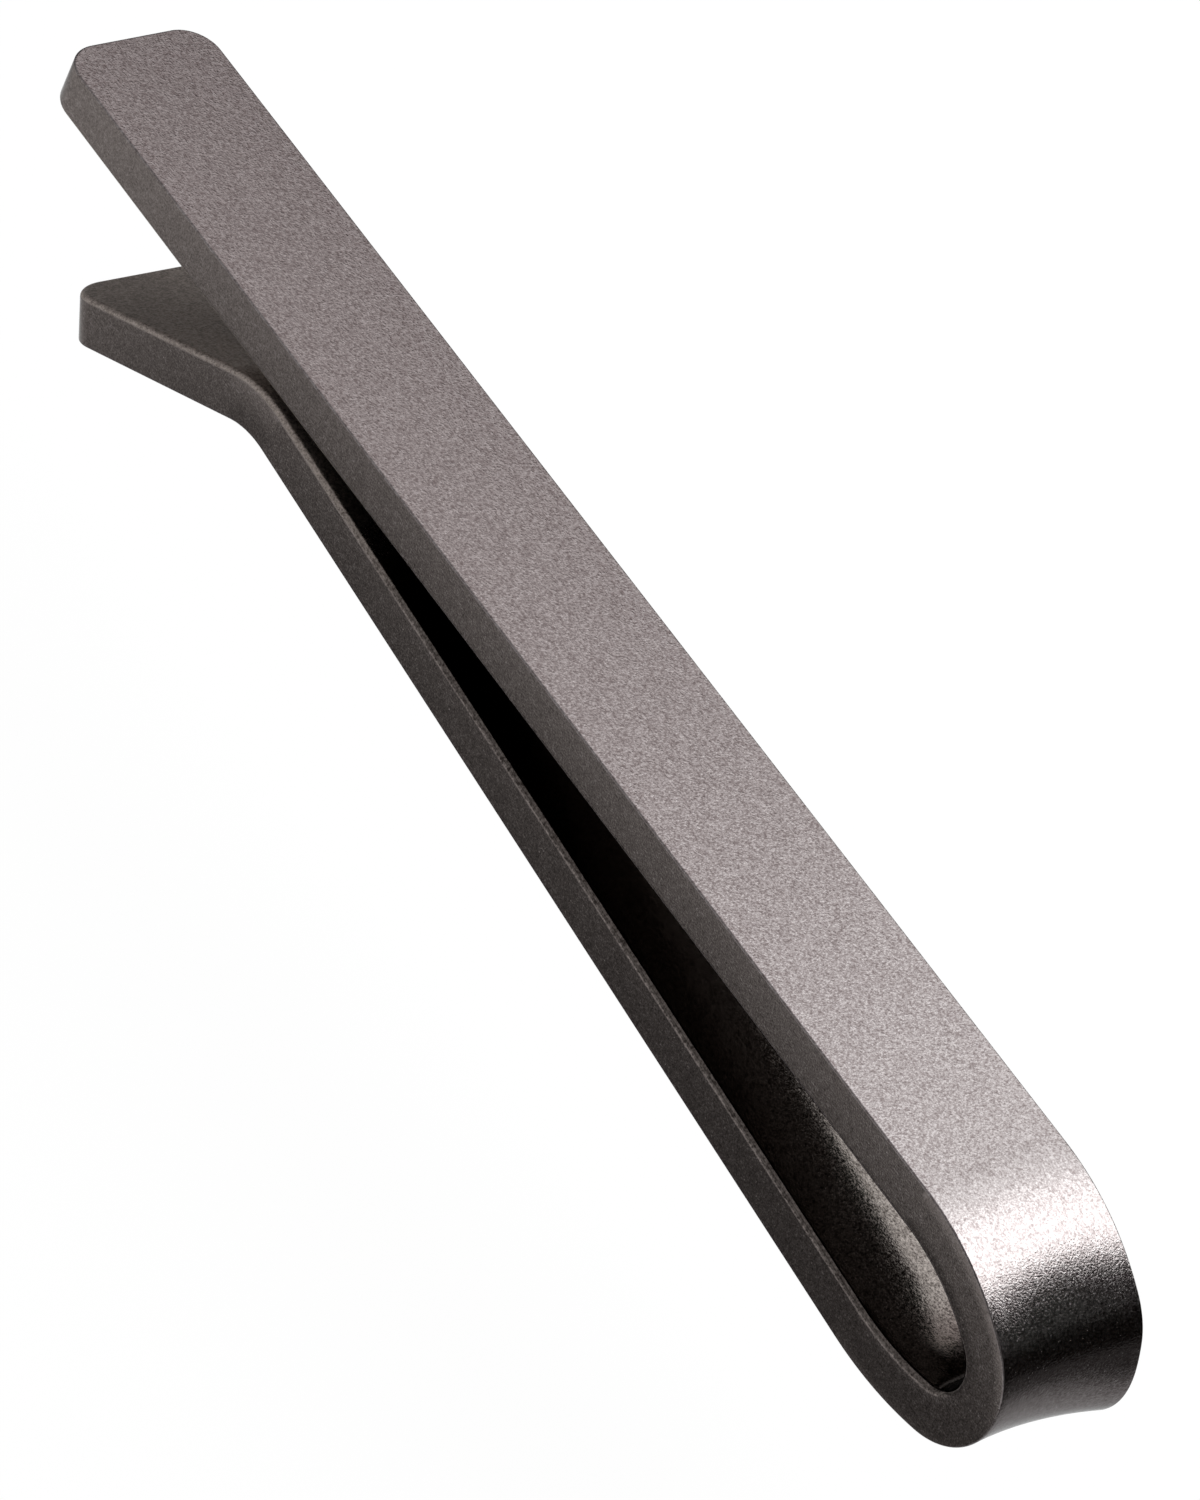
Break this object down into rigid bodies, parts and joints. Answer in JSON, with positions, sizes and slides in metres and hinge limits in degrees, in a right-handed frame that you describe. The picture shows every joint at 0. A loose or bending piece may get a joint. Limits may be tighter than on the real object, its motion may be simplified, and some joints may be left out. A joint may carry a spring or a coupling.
{
  "type": "tie clip",
  "caption": "Slide-on tie clip folded from one flat metal strip: straight front bar, hairpin bend, sprung back leg with a grip bend and a flared lip.",
  "frame": {"origin": "middle of the footprint, on the surface that the clip lies on with its front face up", "axes": "+X along the bar towards the hairpin, +Y across the strip, whose middle plane is y = 0, +Z out of the front face"},
  "size_m": [0.058, 0.006, 0.0086],
  "materials": {
    "gunmetal_steel": "bead-blasted warm gunmetal with a fine satin grain"
  },
  "bodies": {
    "front": {"front_bar": "gunmetal_steel", "hairpin_bend": "gunmetal_steel"},
    "leg": {"spring_leg": "gunmetal_steel", "grip_bend": "gunmetal_steel", "flared_lip": "gunmetal_steel"}
  },
  "joints": [
    {"name": "leg_flex", "type": "hinge", "parent": "front", "child": "leg", "pos_m": [0.02587, 0, 0.00441], "axis": [0, -1, 0], "range_deg": [0, 8], "stiffness_Nm_per_rad": 0.5, "deforming": ["hairpin_bend"]}
  ]
}
